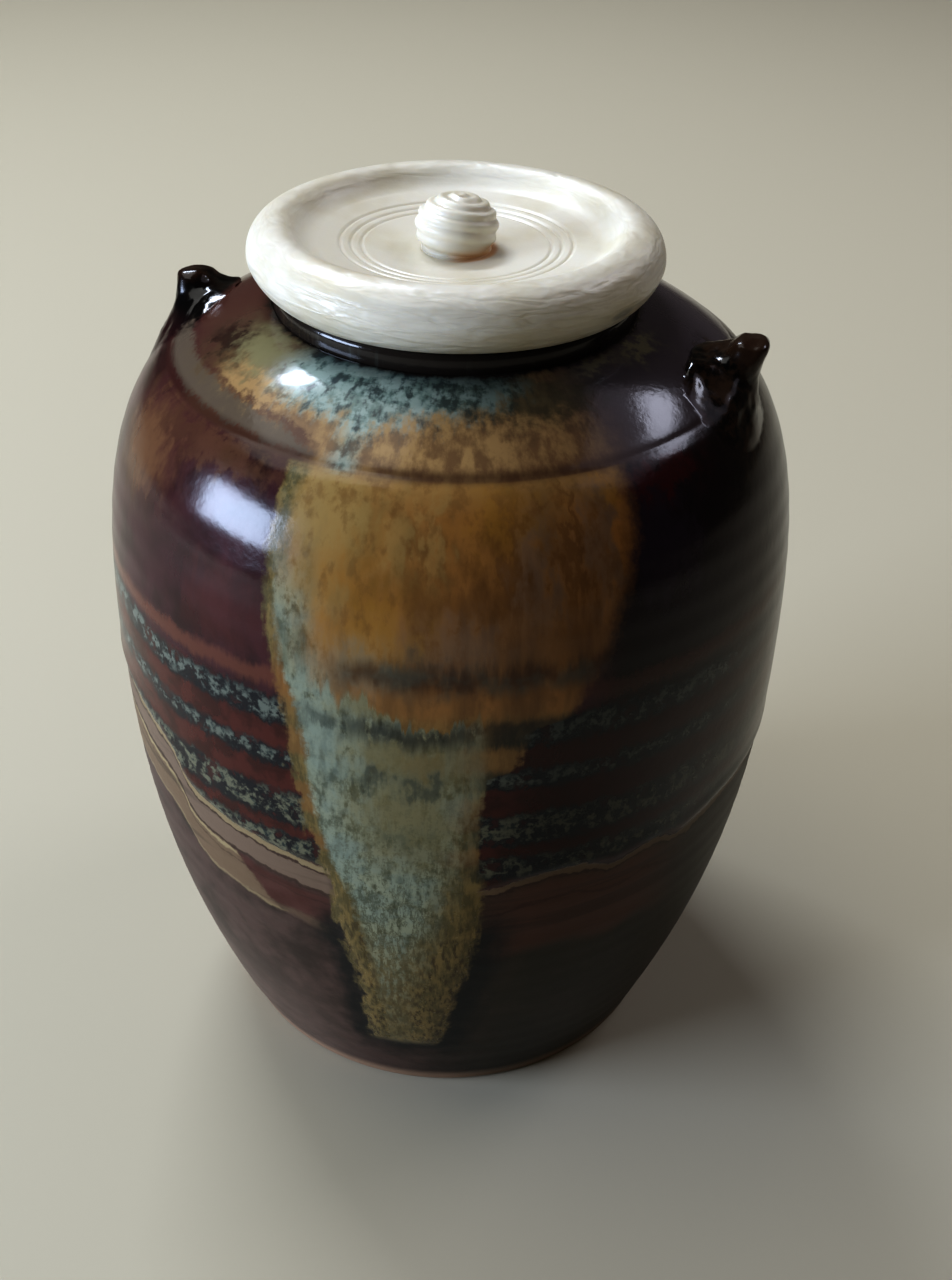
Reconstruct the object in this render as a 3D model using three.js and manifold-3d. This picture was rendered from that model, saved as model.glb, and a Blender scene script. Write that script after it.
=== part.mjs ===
// Glazed stoneware tea caddy with two shoulder lugs and a turned, ivory-coloured lid.
// Millimetres, +Z up. The origin is the centre of the flat underside, the right lug is towards +X.

import * as THREE from "three";
import { mergeVertices } from "three/addons/utils/BufferGeometryUtils.js";
import Module from "manifold-3d";

const wasm = await Module();
wasm.setup();

// Thrown body
const segments = 44; // facets round the axis, on the body and the lid
const footRadius = 24.2; // widest point of the flat underside's rounded edge
const footBevel = 0.8; // rounding where the wall leaves the underside
const bellyRadius = 33.2; // widest point of the body
const bellyHeight = 46; // height of the widest point
const ringRadius = 26.4; // incised ring round the shoulder
const shoulderRise = 28.9; // from the widest point up to that ring
const ringLedge = 0.5; // width of the ring's little step
const ringLedgeRise = 0.25; // how far the slope starts above the step
const neckRadius = 16.3; // outside of the short upright neck
const slopeRise = 4.35; // from the ring's step up to the foot of the neck
const neckRise = 1.8; // from the foot of the neck up to the top of the lip
const mouthRadius = 13.6; // bore of the mouth
const lipRounding = 0.6; // radius of the rounded lip edges
const wallThickness = 2.8; // belly and shoulder wall
const floorThickness = 3.6; // clay under the cavity
const cornerRounding = 1.8; // where the cavity's floor turns up into the wall

// Curve handles of the body, as shares of the stretch that they shape
const lowerLean = 0.53; // share of the widening reached by the lower handle
const lowerLift = 0.27;
const bellyHold = 0.42; // share of the lower wall that stays near the widest radius
const shoulderHold = 0.45;
const shoulderTurn = 0.81;
const shoulderTurnRadius = 0.09;
const slopeStart = 0.2;
const slopeStartRise = 0.36;
const slopeEnd = 0.68;
const slopeEndRise = 0.95;
const lowerSteps = 9;
const shoulderSteps = 8;
const slopeSteps = 4;
const roundSteps = 3;

// Lugs, drawn in the upright plane through the axis
const lugTurn = -17; // degrees from +X to the right lug, the left one is opposite
const lugCrestRise = 4.8; // top of a lug above the shoulder's ring
const lugOverhang = 2.1; // upright outer face of a lug beyond the ring's radius
const lugCrestInset = 2; // crest of a lug inside its outer face
const lugLength = 6.1; // from the outer face in to where the lug rises from the slope
const lugInnerRise = 2.4; // drop from the crest to that point
const lugTail = 2.5; // how far the outer face runs out on the shoulder
const lugTailDrop = 12.4; // how far the tail lies below the crest
const lugRootDepth = 1.6; // how deep the lug's root is buried in the wall
const lugWidth = 5.2; // across the lug, at its crest
const lugRootWidth = 8.4; // across the lug, at its root
const lugBevel = 0.7; // rounding of the lug's edges
const lugSteps = 4;
const lugTailEase = 0.35; // shares of the tail's drop where its curve starts, turns and stands upright
const lugTailTurn = 0.45;
const lugFaceTop = 0.72;
const lugInnerEase = 0.4; // share of the inner rise at the handle of its curve
const lugBevelSteps = 2;
const dimpleReach = 1.75; // half size of the thumbed hollow in each side of a lug, outwards
const dimpleRise = 2.3; // half height of the hollow
const dimpleDepth = 1.7; // how deep it goes in
const dimpleDrop = 3.3; // centre of the hollow below the crest
const dimpleInset = 0.35; // centre of the hollow inside the crest's radius
const dimpleFacets = 12;

// Lid
const seatGap = 0.1; // between the lip and the lid that rests on it
const lidRadius = 18.7; // outside of the rounded rim
const rimThickness = 5.6; // height of the rounded rim
const rimFlatShare = 0.3; // share of the rim's radius that its side stays full
const rimSideEase = 0.25; // handles of the rim's curves, as shares of its radius
const rimCrestEase = 0.6;
const rimSlopeEase = 0.55;
const rimDishEase = 0.25;
const rimSteps = 5;
const rimSlopeSteps = 4;
const dishRadius = 12.4; // where the rim's inner slope reaches the shallow dish
const dishEdgeDepth = 1.75; // the dish's edge below the rim's crest
const dishDepth = 2.8; // the middle of the dish below the crest
const grooveRadii = [10.4, 9.4, 8.5]; // three turned grooves
const grooveWidth = 0.42;
const grooveDepth = 0.22;
const plugClearance = 0.4; // between the lid's plug and the bore of the mouth
const plugDepth = 2.2; // how far the plug reaches below the lip
const plugBevel = 0.5;

// Knob, turned in one with the lid
const knobRadius = 3.75;
const knobFootRadius = 2.85;
const knobHeight = 4.9; // above the middle of the dish
const knobWaist = 0.45; // share of the height at the widest point
const knobTopFlat = 0.5; // radius of the small flat at its top
const knobFootSpread = 0.1; // how far the flank leans out above the foot
const knobFootEase = 0.4; // handles of the knob's curves, as shares of its rise
const knobEase = 0.6;
const knobFlankSteps = 4;
const knobCrownSteps = 8;
const spiralTurns = 4; // carved ridge that winds down from the top
const spiralDepth = 0.13;
const spiralStart = 0.05; // share of the knob's height where the ridge ends at the foot
const tolerance = 0.001; // points closer than this are one point

// Heights and radii that follow from the sizes above
const ringHeight = bellyHeight + shoulderRise;
const neckFootHeight = ringHeight + ringLedgeRise + slopeRise;
const mouthHeight = neckFootHeight + neckRise;
const lugCrestHeight = ringHeight + lugCrestRise;
const lugOuterRadius = ringRadius + lugOverhang;
const lugCrestRadius = lugOuterRadius - lugCrestInset;
const lugInnerRadius = lugOuterRadius - lugLength;
const lugTailRadius = lugOuterRadius + lugTail;

const point = (r, z) => new THREE.Vector2(r, z);

function bezier(start, startHandle, endHandle, end, steps) {
  return new THREE.CubicBezierCurve(start, startHandle, endHandle, end).getPoints(steps);
}

function roundEdge(centreRadius, centreHeight, radius, fromDegrees, toDegrees) {
  const from = THREE.MathUtils.degToRad(fromDegrees);
  const to = THREE.MathUtils.degToRad(toDegrees);
  const clockwise = toDegrees < fromDegrees;
  const arc = new THREE.EllipseCurve(centreRadius, centreHeight, radius, radius, from, to, clockwise);
  return arc.getPoints(roundSteps);
}

function dropRepeats(points) {
  return points.filter((p, i) => i === 0 || p.distanceTo(points[i - 1]) > tolerance);
}

function turn(profile) {
  return new THREE.LatheGeometry(dropRepeats(profile), segments).rotateX(Math.PI / 2);
}

function toSolid(geometry) {
  geometry.deleteAttribute("normal");
  geometry.deleteAttribute("uv");
  const merged = mergeVertices(geometry, tolerance / 10);
  const position = merged.getAttribute("position");
  const index = merged.getIndex().array;
  const triangles = [];
  for (let i = 0; i < index.length; i += 3) {
    const [a, b, c] = [index[i], index[i + 1], index[i + 2]];
    if (a !== b && b !== c && c !== a) {
      triangles.push(a, b, c);
    }
  }
  const solid = new wasm.Manifold(new wasm.Mesh({
    numProp: 3,
    vertProperties: new Float32Array(position.array),
    triVerts: new Uint32Array(triangles),
  }));
  return solid;
}

function toGeometry(solid) {
  const mesh = solid.getMesh();
  const geometry = new THREE.BufferGeometry();
  geometry.setAttribute("position", new THREE.BufferAttribute(mesh.vertProperties, 3));
  geometry.setIndex(new THREE.BufferAttribute(mesh.triVerts, 1));
  geometry.computeVertexNormals();
  return geometry;
}

// Outside of the wall, from the underside's edge to the foot of the neck
function lowerWall() {
  const widening = bellyRadius - footRadius;
  const rise = bellyHeight - footBevel;
  return bezier(
    point(footRadius, footBevel),
    point(footRadius + widening * lowerLean, footBevel + rise * lowerLift),
    point(bellyRadius, bellyHeight - rise * bellyHold),
    point(bellyRadius, bellyHeight),
    lowerSteps,
  );
}

function shoulderWall() {
  const rise = ringHeight - bellyHeight;
  const narrowing = bellyRadius - ringRadius;
  return bezier(
    point(bellyRadius, bellyHeight),
    point(bellyRadius, bellyHeight + rise * shoulderHold),
    point(bellyRadius - narrowing * shoulderTurnRadius, bellyHeight + rise * shoulderTurn),
    point(ringRadius, ringHeight),
    shoulderSteps,
  );
}

function slopeWall() {
  const startRadius = ringRadius - ringLedge;
  const startHeight = ringHeight + ringLedgeRise;
  const run = startRadius - neckRadius;
  const rise = neckFootHeight - startHeight;
  return bezier(
    point(startRadius, startHeight),
    point(startRadius - run * slopeStart, startHeight + rise * slopeStartRise),
    point(startRadius - run * slopeEnd, startHeight + rise * slopeEndRise),
    point(neckRadius, neckFootHeight),
    slopeSteps,
  );
}

// Moves each point of a wall line inwards, square to the line
function insetLine(line, distance) {
  return line.map((p, i) => {
    const before = line[Math.max(i - 1, 0)];
    const after = line[Math.min(i + 1, line.length - 1)];
    const along = after.clone().sub(before).normalize();
    return point(p.x - along.y * distance, p.y + along.x * distance);
  });
}

function bodySolid() {
  const outside = [
    point(0, 0),
    ...roundEdge(footRadius - footBevel, footBevel, footBevel, -90, 0),
    ...lowerWall(),
    ...shoulderWall(),
    point(ringRadius - ringLedge, ringHeight),
    ...slopeWall(),
    ...roundEdge(neckRadius - lipRounding, mouthHeight - lipRounding, lipRounding, 0, 90),
    ...roundEdge(mouthRadius + lipRounding, mouthHeight - lipRounding, lipRounding, 90, 180),
    point(mouthRadius, mouthHeight - lipRounding * 2),
    point(0, mouthHeight - lipRounding * 2),
  ];
  return toSolid(turn(outside));
}

function cavitySolid() {
  const wall = insetLine([...lowerWall(), ...shoulderWall().slice(1), ...slopeWall()], wallThickness);
  const inside = wall.filter((p) => p.y > floorThickness + cornerRounding && p.x > mouthRadius);
  const first = inside[0];
  const last = inside[inside.length - 1];
  const profile = [
    point(0, floorThickness),
    point(first.x - cornerRounding * 2, floorThickness),
    ...inside,
    point(mouthRadius, Math.max(last.y, neckFootHeight - wallThickness)),
    point(mouthRadius, mouthHeight + lipRounding),
    point(0, mouthHeight + lipRounding),
  ];
  return toSolid(turn(profile));
}

// Outline of a lug with x outwards and y up, the buried root included
function lugOutline() {
  const innerHeight = lugCrestHeight - lugInnerRise;
  const tailHeight = lugCrestHeight - lugTailDrop;
  const shape = new THREE.Shape();
  shape.moveTo(lugInnerRadius, innerHeight - lugRootDepth * 2);
  shape.lineTo(lugTailRadius - lugRootDepth * 2, tailHeight - lugRootDepth);
  shape.lineTo(lugTailRadius, tailHeight);
  shape.bezierCurveTo(
    lugOuterRadius, tailHeight + lugTailDrop * lugTailEase,
    lugOuterRadius, tailHeight + lugTailDrop * lugTailTurn,
    lugOuterRadius, tailHeight + lugTailDrop * lugFaceTop,
  );
  shape.bezierCurveTo(
    lugOuterRadius, lugCrestHeight - lugBevel,
    lugCrestRadius + lugBevel, lugCrestHeight,
    lugCrestRadius, lugCrestHeight,
  );
  shape.bezierCurveTo(
    lugCrestRadius - lugBevel * 2, lugCrestHeight,
    lugInnerRadius + lugBevel, innerHeight + lugInnerRise * lugInnerEase,
    lugInnerRadius, innerHeight - lugRootDepth,
  );
  return shape;
}

function lugSolid(turnDegrees) {
  const depth = lugWidth - lugBevel * 2;
  const geometry = new THREE.ExtrudeGeometry(lugOutline(), {
    depth,
    curveSegments: lugSteps,
    bevelThickness: lugBevel,
    bevelSize: lugBevel,
    bevelOffset: -lugBevel,
    bevelSegments: lugBevelSteps,
  });
  geometry.translate(0, 0, -depth / 2);
  const position = geometry.getAttribute("position");
  const spread = lugRootWidth / lugWidth - 1;
  for (let i = 0; i < position.count; i += 1) {
    const below = (lugCrestHeight - position.getY(i)) / lugTailDrop;
    position.setZ(i, position.getZ(i) * (1 + spread * THREE.MathUtils.clamp(below, 0, 1)));
  }
  geometry.rotateX(Math.PI / 2);
  let lug = toSolid(geometry);
  for (const side of [-1, 1]) {
    const dimple = new THREE.SphereGeometry(1, dimpleFacets, dimpleFacets / 2);
    dimple.scale(dimpleReach, dimpleDepth, dimpleRise);
    dimple.translate(
      lugCrestRadius - dimpleInset,
      side * (lugWidth / 2 + lugBevel / 2),
      lugCrestHeight - dimpleDrop,
    );
    lug = lug.subtract(toSolid(dimple));
  }
  return lug.rotate([0, 0, turnDegrees]);
}

function caddyBody() {
  let body = bodySolid();
  for (const opposite of [0, 180]) {
    body = body.add(lugSolid(lugTurn + opposite));
  }
  body = body.subtract(cavitySolid());
  const material = new THREE.MeshStandardMaterial({ color: "#5a3226", roughness: 0.25, metalness: 0 });
  const mesh = new THREE.Mesh(toGeometry(body), material);
  mesh.name = "caddy_body";
  return mesh;
}

// Heights of the lid, each counted from the lip that it rests on
const lidUnderside = mouthHeight + seatGap;
const rimCrest = lidUnderside + rimThickness;
const plugRadius = mouthRadius - plugClearance;
const rimRadius = rimThickness / 2;

function dishHeight(radius) {
  const share = radius / dishRadius;
  const middle = rimCrest - dishDepth;
  return middle + (dishDepth - dishEdgeDepth) * share * share;
}

function grooveLine(radius) {
  const outer = radius + grooveWidth / 2;
  const inner = radius - grooveWidth / 2;
  return [
    point(outer, dishHeight(outer)),
    point(radius, dishHeight(radius) - grooveDepth),
    point(inner, dishHeight(inner)),
  ];
}

function rimLine() {
  const hold = rimRadius * (rimFlatShare + rimSideEase);
  const centre = lidUnderside + rimRadius;
  const crestRadius = lidRadius - rimRadius;
  const under = bezier(
    point(crestRadius, lidUnderside),
    point(crestRadius + rimRadius * rimCrestEase, lidUnderside),
    point(lidRadius, centre - rimRadius * rimSideEase),
    point(lidRadius, centre),
    rimSteps,
  );
  const over = bezier(
    point(lidRadius, centre),
    point(lidRadius, centre + hold),
    point(crestRadius + rimRadius * rimCrestEase, rimCrest),
    point(crestRadius, rimCrest),
    rimSteps,
  );
  const inwards = bezier(
    point(crestRadius, rimCrest),
    point(crestRadius - rimRadius * rimSlopeEase, rimCrest),
    point(dishRadius + rimRadius * rimDishEase, dishHeight(dishRadius) + grooveDepth),
    point(dishRadius, dishHeight(dishRadius)),
    rimSlopeSteps,
  );
  return [...under, ...over, ...inwards];
}

function knobLine() {
  const foot = dishHeight(0);
  const waist = foot + knobHeight * knobWaist;
  const top = foot + knobHeight;
  const flank = bezier(
    point(knobFootRadius, foot),
    point(knobFootRadius + knobFootSpread, foot + (waist - foot) * knobFootEase),
    point(knobRadius, waist - (waist - foot) * knobEase),
    point(knobRadius, waist),
    knobFlankSteps,
  );
  const crown = bezier(
    point(knobRadius, waist),
    point(knobRadius, waist + (top - waist) * knobEase),
    point(knobRadius * knobEase, top),
    point(knobTopFlat, top),
    knobCrownSteps,
  );
  return [...flank, ...crown];
}

// Carves a ridge that winds round the knob's axis, above the foot and short of the flat top
function carveSpiral(geometry) {
  const position = geometry.getAttribute("position");
  const foot = dishHeight(0);
  for (let i = 0; i < position.count; i += 1) {
    const [x, y, z] = [position.getX(i), position.getY(i), position.getZ(i)];
    const radius = Math.hypot(x, y);
    const share = (z - foot) / knobHeight;
    if (share > spiralStart && radius > knobTopFlat + tolerance && radius < knobRadius + tolerance) {
      const wave = Math.cos(2 * Math.PI * spiralTurns * share + Math.atan2(y, x));
      const scale = 1 - (spiralDepth * (1 - wave) / 2) / radius;
      position.setX(i, x * scale);
      position.setY(i, y * scale);
    }
  }
  return geometry;
}

function lid() {
  const profile = [
    point(0, mouthHeight - plugDepth),
    point(plugRadius - plugBevel, mouthHeight - plugDepth),
    point(plugRadius, mouthHeight - plugDepth + plugBevel),
    point(plugRadius, lidUnderside),
    ...rimLine(),
    ...grooveRadii.flatMap(grooveLine),
    ...knobLine(),
    point(0, dishHeight(0) + knobHeight),
  ];
  const geometry = carveSpiral(turn(profile));
  const material = new THREE.MeshStandardMaterial({ color: "#e6dcc8", roughness: 0.35, metalness: 0 });
  const mesh = new THREE.Mesh(toGeometry(toSolid(geometry)), material);
  mesh.name = "lid";
  return mesh;
}

const caddy = new THREE.Group();
caddy.add(caddyBody(), lid());

export default caddy;
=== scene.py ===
import math
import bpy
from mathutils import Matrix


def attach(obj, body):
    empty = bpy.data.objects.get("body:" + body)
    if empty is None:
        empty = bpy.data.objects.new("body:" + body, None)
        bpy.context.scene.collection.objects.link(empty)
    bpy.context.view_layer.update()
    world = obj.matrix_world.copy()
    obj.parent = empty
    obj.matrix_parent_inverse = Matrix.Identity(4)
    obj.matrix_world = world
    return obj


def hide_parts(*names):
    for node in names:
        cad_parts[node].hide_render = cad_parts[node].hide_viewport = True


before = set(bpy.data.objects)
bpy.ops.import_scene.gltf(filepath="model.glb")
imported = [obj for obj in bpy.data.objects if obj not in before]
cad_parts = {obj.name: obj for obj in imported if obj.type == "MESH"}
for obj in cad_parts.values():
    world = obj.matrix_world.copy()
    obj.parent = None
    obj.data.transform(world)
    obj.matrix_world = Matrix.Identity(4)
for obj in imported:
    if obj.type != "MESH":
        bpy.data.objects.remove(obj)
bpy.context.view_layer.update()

from types import SimpleNamespace

import bpy
import numpy as np
from mathutils import Matrix, Vector, noise

mm = 0.001
print("frame loaded")


# Camera, worked out from the outline of the turned form in the 952 x 1280 picture
view = {
    "focalPixels": 1500,
    "longSidePixels": 1280,
    "sensor": 36,
    "back": 129.9,  # mm in front of the caddy's axis
    "up": 132.6,  # mm above the floor
    "tilt": 35.04,  # degrees below the horizon
    "turn": 1.2,
    "roll": 1.6,
}


def placeCamera():
    tilt, turn, roll = (math.radians(view[k]) for k in ("tilt", "turn", "roll"))
    ahead = Vector((math.sin(turn) * math.cos(tilt), math.cos(turn) * math.cos(tilt), -math.sin(tilt)))
    right = Vector((math.cos(turn), -math.sin(turn), 0))
    above = right.cross(ahead)
    rolledRight = right * math.cos(roll) + above * math.sin(roll)
    rolledAbove = above * math.cos(roll) - right * math.sin(roll)
    data = bpy.data.cameras.new("photoCamera")
    data.sensor_width = view["sensor"]
    data.lens = view["sensor"] * view["focalPixels"] / view["longSidePixels"]
    data.clip_start = 0.01
    camera = bpy.data.objects.new("photoCamera", data)
    bpy.context.collection.objects.link(camera)
    facing = Matrix((rolledRight, rolledAbove, -ahead)).transposed().to_4x4()
    camera.matrix_world = Matrix.Translation(Vector((0, -view["back"], view["up"])) * mm) @ facing
    bpy.context.scene.camera = camera


placeCamera()
print("camera placed")


# One socket of a material, so that shader maths can be written as plain sums
class Wire:
    def __init__(self, book, socket):
        self.book = book
        self.socket = socket

    def sum(self, operation, *values):
        return self.book.node("ShaderNodeMath", {"operation": operation}, dict(enumerate(values)))

    def __add__(self, other):
        return self.sum("ADD", self, other)

    def __sub__(self, other):
        return self.sum("SUBTRACT", self, other)

    def __rsub__(self, other):
        return self.sum("SUBTRACT", other, self)

    def __mul__(self, other):
        return self.sum("MULTIPLY", self, other)

    def __truediv__(self, other):
        return self.sum("DIVIDE", self, other)

    def __rtruediv__(self, other):
        return self.sum("DIVIDE", other, self)

    __radd__ = __add__
    __rmul__ = __mul__

    def least(self, other):
        return self.sum("MINIMUM", self, other)

    def most(self, other):
        return self.sum("MAXIMUM", self, other)

    # 0 below low, 1 above high, smooth between
    def rise(self, low, high):
        sockets = {"Value": self, "From Min": low, "From Max": high}
        return self.book.node("ShaderNodeMapRange", {"interpolation_type": "SMOOTHSTEP"}, sockets)

    def fall(self, low, high):
        return 1 - self.rise(low, high)

    # 1 between low and high, with soft sides
    def within(self, low, high, soft):
        return self.rise(low - soft, low + soft) * self.fall(high - soft, high + soft)


# The nodes of one material
class Book:
    def __init__(self, name):
        self.material = bpy.data.materials.new(name)
        self.material.use_nodes = True
        self.tree = self.material.node_tree
        self.tree.nodes.clear()

    def node(self, kind, settings=None, sockets=None, out=0):
        made = self.tree.nodes.new(kind)
        for key, value in (settings or {}).items():
            if key == "line":
                self.setLine(made.mapping, value)
            else:
                setattr(made, key, value)
        for key, value in (sockets or {}).items():
            if isinstance(value, Wire):
                self.tree.links.new(value.socket, made.inputs[key])
            else:
                made.inputs[key].default_value = value
        return Wire(self, made.outputs[out]) if len(made.outputs) else None

    def setLine(self, mapping, points):
        curve = mapping.curves[0]
        while len(curve.points) < len(points):
            curve.points.new(0.5, 0.5)
        for spot, place in zip(curve.points, points):
            spot.location = place
            spot.handle_type = "AUTO_CLAMPED"
        mapping.update()

    # a value read off a line drawn through (place, value) points
    def follow(self, wire, points):
        low, high = (f(x for x, y in points) for f in (min, max))
        bottom, top = (f(y for x, y in points) for f in (min, max))
        line = sorted(((x - low) / (high - low), (y - bottom) / (top - bottom)) for x, y in points)
        share = self.node("ShaderNodeFloatCurve", {"line": line}, {"Value": (wire - low) / (high - low)})
        return share * (top - bottom) + bottom

    def blend(self, first, second, factor):
        return self.node("ShaderNodeMix", {"data_type": "RGBA"}, {0: factor, 6: first, 7: second}, 2)

    def noise(self, place, scale, detail=3, roughness=0.55, distortion=0):
        sockets = {"Vector": place, "Scale": scale, "Detail": detail, "Roughness": roughness,
                   "Distortion": distortion}
        return self.node("ShaderNodeTexNoise", None, sockets)

    # 1 in the middle of an oval on the wall, soft towards its edge
    def oval(self, across, along, centre, half):
        sideways = (across - centre[0]) / half[0]
        upward = (along - centre[1]) / half[1]
        away = sideways * sideways + upward * upward
        return 1 / (1 + away * away)

    def stretch(self, place, x, y, z):
        return self.node("ShaderNodeVectorMath", {"operation": "MULTIPLY"}, {0: place, 1: (x, y, z)})

    # the place on the object in mm, its x, y and z, the distance from the axis, the degrees round it
    def places(self):
        own = self.node("ShaderNodeTexCoord", None, None, "Object")
        place = self.node("ShaderNodeVectorMath", {"operation": "SCALE"}, {0: own, "Scale": 1 / mm})
        apart = {axis: self.node("ShaderNodeSeparateXYZ", None, {0: place}, axis) for axis in "XYZ"}
        x, y, z = apart["X"], apart["Y"], apart["Z"]
        level = self.stretch(place, 1, 1, 0)
        radius = self.node("ShaderNodeVectorMath", {"operation": "LENGTH"}, {0: level}, "Value")
        turn = self.node("ShaderNodeMath", {"operation": "ARCTAN2"}, {0: x, 1: y * -1})
        return place, x, y, z, radius, turn * math.degrees(1) - 90

    def surface(self, **sockets):
        shader = self.node("ShaderNodeBsdfPrincipled", None, sockets)
        self.node("ShaderNodeOutputMaterial", None, {"Surface": shader})
        return self.material


def tone(code):
    parts = [int(code[i:i + 2], 16) / 255 for i in (0, 2, 4)]
    return (*(((p + 0.055) / 1.055) ** 2.4 for p in parts), 1)


# Outlines and meshes of turned work, in mm
def bezier(start, startHandle, endHandle, end, steps):
    t = np.linspace(0, 1, steps + 1)[:, None]
    ends = (1 - t) ** 3 * np.array(start) + t ** 3 * np.array(end)
    return ends + 3 * (1 - t) ** 2 * t * np.array(startHandle) + 3 * (1 - t) * t ** 2 * np.array(endHandle)


def roundEdge(radius, height, size, fromDegrees, toDegrees, steps=6):
    angles = np.radians(np.linspace(fromDegrees, toDegrees, steps + 1))
    return np.stack([radius + size * np.cos(angles), height + size * np.sin(angles)], 1)


def inset(line, distance):
    along = np.gradient(line, axis=0)
    along /= np.linalg.norm(along, axis=1)[:, None]
    return line + distance * np.stack([-along[:, 1], along[:, 0]], 1)


# Turns a profile that starts and ends on the axis. relief gives how far each point moves outwards
def turned(name, profile, segments, relief):
    profile = np.array(profile)
    keep = np.ones(len(profile), bool)
    keep[1:] = np.linalg.norm(np.diff(profile, axis=0), axis=1) > 1e-4
    profile = profile[keep]
    around = np.linspace(-math.pi, math.pi, segments, endpoint=False)
    rows = profile[1:-1]
    along = np.gradient(rows, axis=0)
    along /= np.maximum(np.linalg.norm(along, axis=1), 1e-9)[:, None]
    radius = np.repeat(rows[:, :1], segments, 1)
    height = np.repeat(rows[:, 1:], segments, 1)
    angle = np.repeat(around[None, :], len(rows), 0)
    out = relief(radius, height, angle)
    radius = radius + out * along[:, 1:]
    height = height - out * along[:, :1]
    points = np.stack([radius * np.cos(angle), radius * np.sin(angle), height], -1).reshape(-1, 3)
    points = np.vstack([points, [0, 0, profile[0, 1]], [0, 0, profile[-1, 1]]]) * mm
    bottom, top = len(points) - 2, len(points) - 1
    faces = []
    for row in range(len(rows) - 1):
        for i in range(segments):
            j = (i + 1) % segments
            lower, upper = row * segments, (row + 1) * segments
            faces.append((lower + i, lower + j, upper + j, upper + i))
    last = (len(rows) - 1) * segments
    for i in range(segments):
        j = (i + 1) % segments
        faces.append((bottom, j, i))
        faces.append((top, last + i, last + j))
    return makePiece(name, points, faces)


crispEdge = 60  # degrees between faces, above which an edge stays crisp


def smooth(piece):
    piece.data.shade_smooth()
    piece.data.set_sharp_from_angle(angle=math.radians(crispEdge))


def makePiece(name, points, faces):
    mesh = bpy.data.meshes.new(name)
    mesh.from_pydata([tuple(p) for p in points], [], faces)
    mesh.update()
    piece = bpy.data.objects.new(name, mesh)
    bpy.context.collection.objects.link(piece)
    return piece


# The body's outline, with the same sizes as its solid
body = {
    "footRadius": 24.2,
    "footBevel": 0.8,
    "bellyRadius": 33.2,
    "bellyHeight": 46,
    "shoulderRise": 28.9,
    "ringRadius": 26.4,
    "ringLedge": 0.5,
    "ringLedgeRise": 0.25,
    "slopeRise": 4.35,
    "neckRadius": 16.3,
    "neckRise": 1.8,
    "mouthRadius": 13.6,
    "lip": 0.6,
    "wall": 2.8,
    "floor": 3.6,
    "corner": 1.8,
    "outOfRound": 0.12,  # the thrown wall's wander from a circle
    "outOfRoundTurn": 0.7,
    "segments": 288,
    # handles of the three curves as shares of their widths and heights, and the steps on each
    "footHandle": (0.53, 0.27),
    "bellyHandle": 0.42,
    "overBelly": 0.45,
    "ringHandle": (0.09, 0.81),
    "slopeHandle": (0.2, 0.36),
    "neckHandle": (0.68, 0.95),
    "steps": (110, 80, 34),
}
body["ringHeight"] = body["bellyHeight"] + body["shoulderRise"]
body["neckFoot"] = body["ringHeight"] + body["ringLedgeRise"] + body["slopeRise"]
body["mouth"] = body["neckFoot"] + body["neckRise"]


def wallLines(b):
    wide = b["bellyRadius"] - b["footRadius"]
    tall = b["bellyHeight"] - b["footBevel"]
    across, along = b["footHandle"]
    lower = bezier(
        (b["footRadius"], b["footBevel"]),
        (b["footRadius"] + wide * across, b["footBevel"] + tall * along),
        (b["bellyRadius"], b["bellyHeight"] - tall * b["bellyHandle"]),
        (b["bellyRadius"], b["bellyHeight"]), b["steps"][0])
    narrow = b["bellyRadius"] - b["ringRadius"]
    across, along = b["ringHandle"]
    shoulder = bezier(
        (b["bellyRadius"], b["bellyHeight"]),
        (b["bellyRadius"], b["bellyHeight"] + b["shoulderRise"] * b["overBelly"]),
        (b["bellyRadius"] - narrow * across, b["bellyHeight"] + b["shoulderRise"] * along),
        (b["ringRadius"], b["ringHeight"]), b["steps"][1])
    start = np.array((b["ringRadius"] - b["ringLedge"], b["ringHeight"] + b["ringLedgeRise"]))
    run = start[0] - b["neckRadius"]
    handles = [start + (-run * across, b["slopeRise"] * along)
               for across, along in (b["slopeHandle"], b["neckHandle"])]
    slope = bezier(start, *handles, (b["neckRadius"], b["neckFoot"]), b["steps"][2])
    return lower, shoulder, slope


lowerLine, shoulderLine, slopeLine = wallLines(body)
wallLine = np.vstack([lowerLine, shoulderLine[1:], slopeLine])
topLine = np.vstack([shoulderLine, slopeLine])[::-1]


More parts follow.
